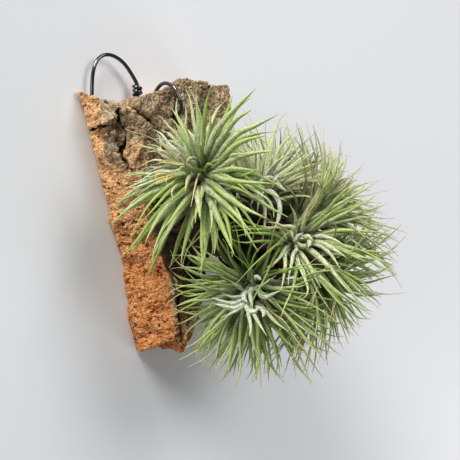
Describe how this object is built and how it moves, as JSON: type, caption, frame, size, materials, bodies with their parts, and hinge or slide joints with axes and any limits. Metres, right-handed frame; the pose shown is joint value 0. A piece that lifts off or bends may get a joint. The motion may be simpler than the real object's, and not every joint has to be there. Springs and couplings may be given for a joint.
{
  "type": "air plant clump on cork bark",
  "caption": "Dense clump of spiky air plant rosettes growing on a rough wedge of cork bark, with a loop of black wire to hang it by; it also lies on its flat back.",
  "frame": {"origin": "on the bark's flat back, under the middle of the plants", "axes": "+Z out of the bark's face towards the plants, +Y along the bark towards the hanging loop, +X to the right as the face is looked at"},
  "size_m": [0.1052, 0.1226, 0.1024],
  "materials": {
    "cork": "matte",
    "black_wire": "gloss",
    "old_stems": "matte",
    "leaf": "matte"
  },
  "bodies": {
    "root": {"cork_bark": "cork", "hanging_wire": "black_wire", "old_stems": "old_stems", "rosette_front": "leaf", "rosette_top": "leaf", "rosette_crest": "leaf", "rosette_low": "leaf", "rosette_right": "leaf", "rosette_side": "leaf", "rosette_back": "leaf", "rosette_foot": "leaf"}
  },
  "joints": []
}
